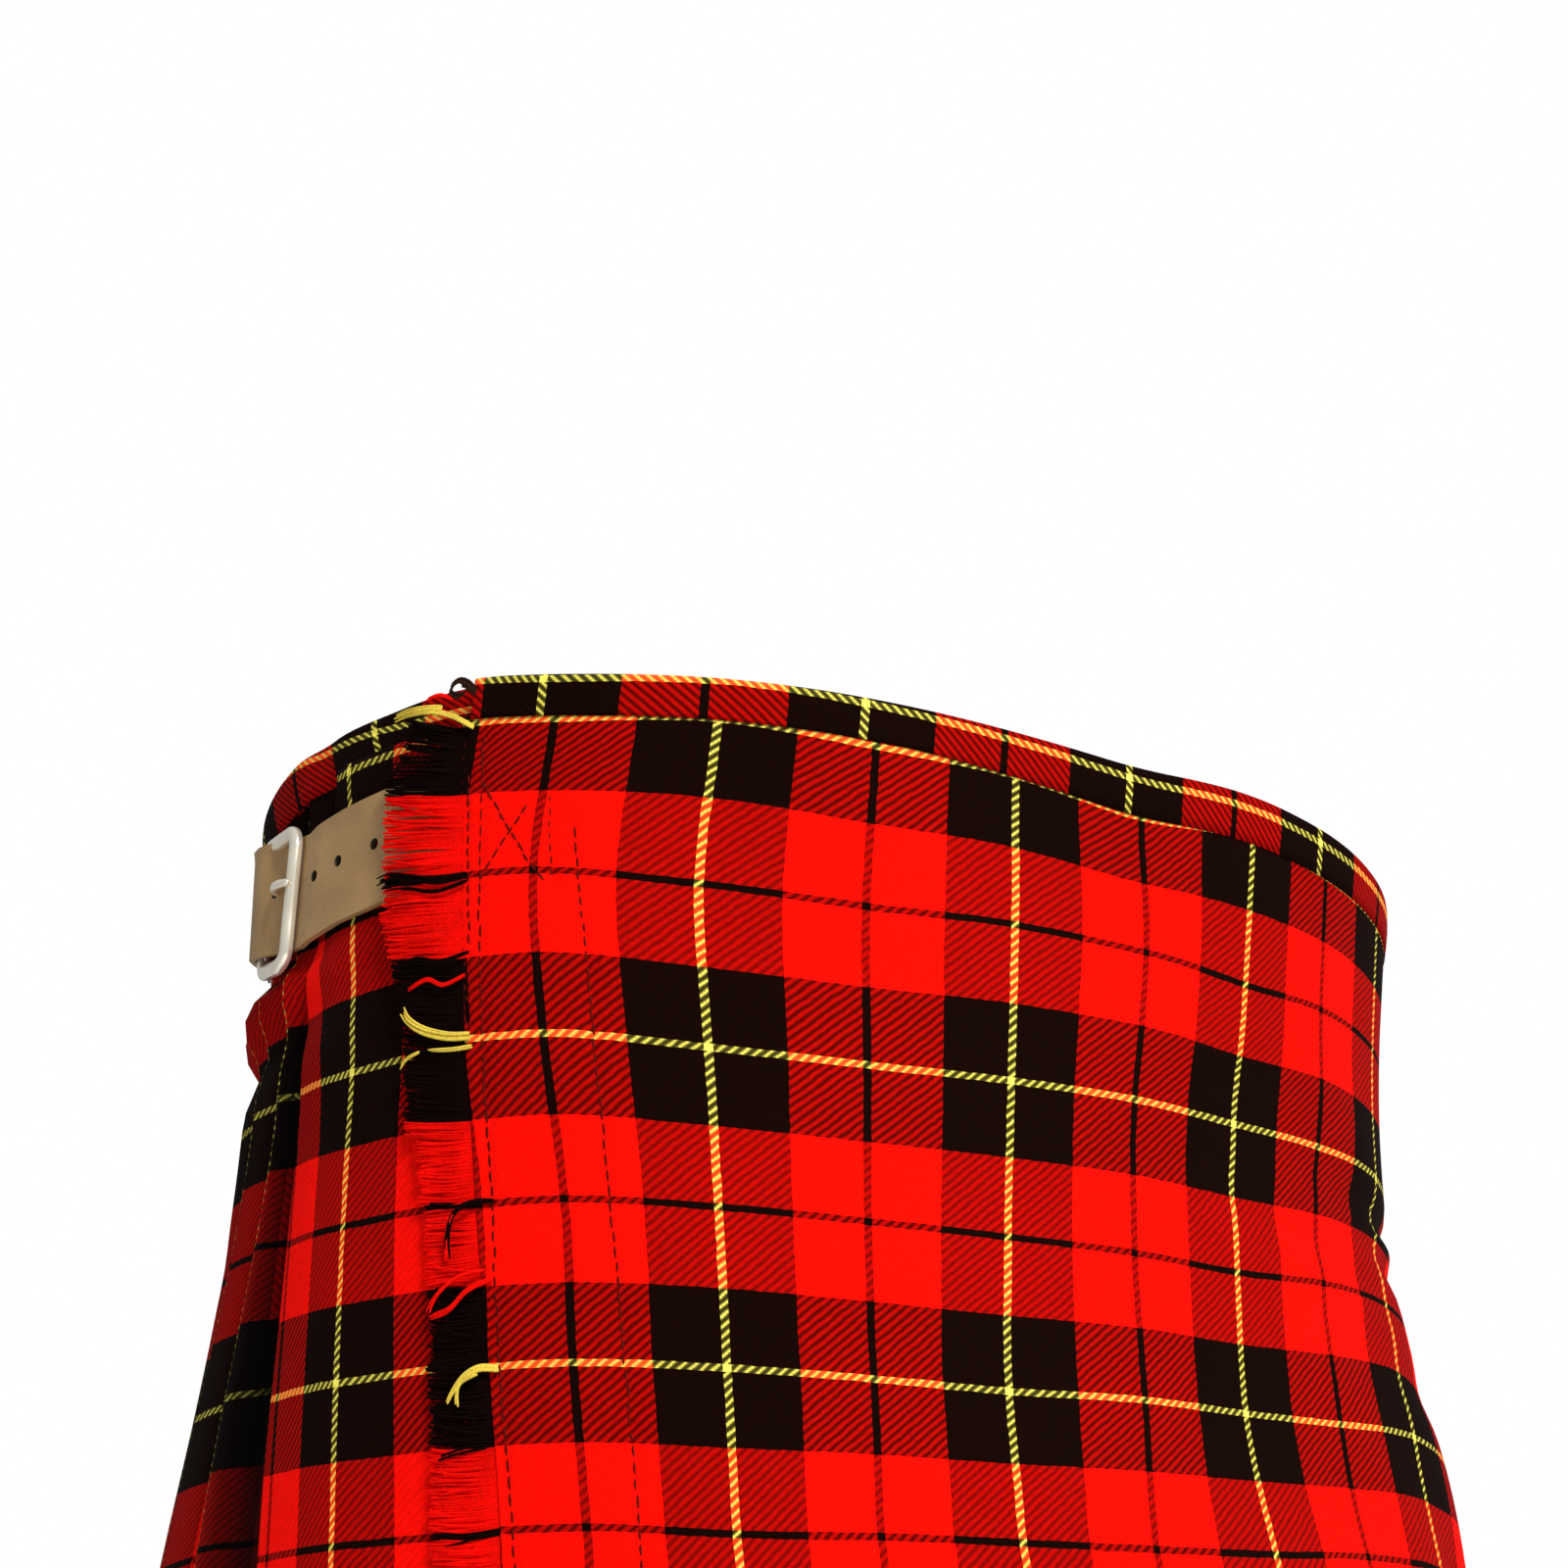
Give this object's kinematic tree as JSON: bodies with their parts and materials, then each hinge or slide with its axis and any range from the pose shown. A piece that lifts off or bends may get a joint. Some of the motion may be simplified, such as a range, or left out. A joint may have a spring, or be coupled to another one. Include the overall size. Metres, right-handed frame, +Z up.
{
  "type": "kilt",
  "caption": "Tartan wool kilt in its worn form: fringed wrap apron, knife-pleated back, narrow waistband and a leather strap with a buckle at each hip.",
  "frame": {"origin": "centre of the waist, level with the seam under the waistband, where the wearer's waist holds the kilt", "axes": "+Z up to the waistband, -Y out of the front apron, +X to the wearer's left hip"},
  "size_m": [0.4225, 0.3741, 0.6172],
  "materials": {
    "over_apron_wool": "matte twill",
    "under_apron_wool": "matte twill",
    "pleated_wool": "matte twill",
    "waistband_wool": "matte twill",
    "fringe_wool": "matte yarn",
    "strap_leather": "satin",
    "buckle_nickel": "polished"
  },
  "bodies": {
    "root": {"over_apron": "over_apron_wool", "under_apron": "under_apron_wool", "pleated_back": "pleated_wool", "waistband": "waistband_wool", "apron_fringe": "fringe_wool", "right_strap": "strap_leather", "right_buckle": "buckle_nickel", "right_prong": "buckle_nickel", "right_chape": "strap_leather", "left_strap": "strap_leather", "left_buckle": "buckle_nickel", "left_prong": "buckle_nickel", "left_chape": "strap_leather"}
  },
  "joints": []
}
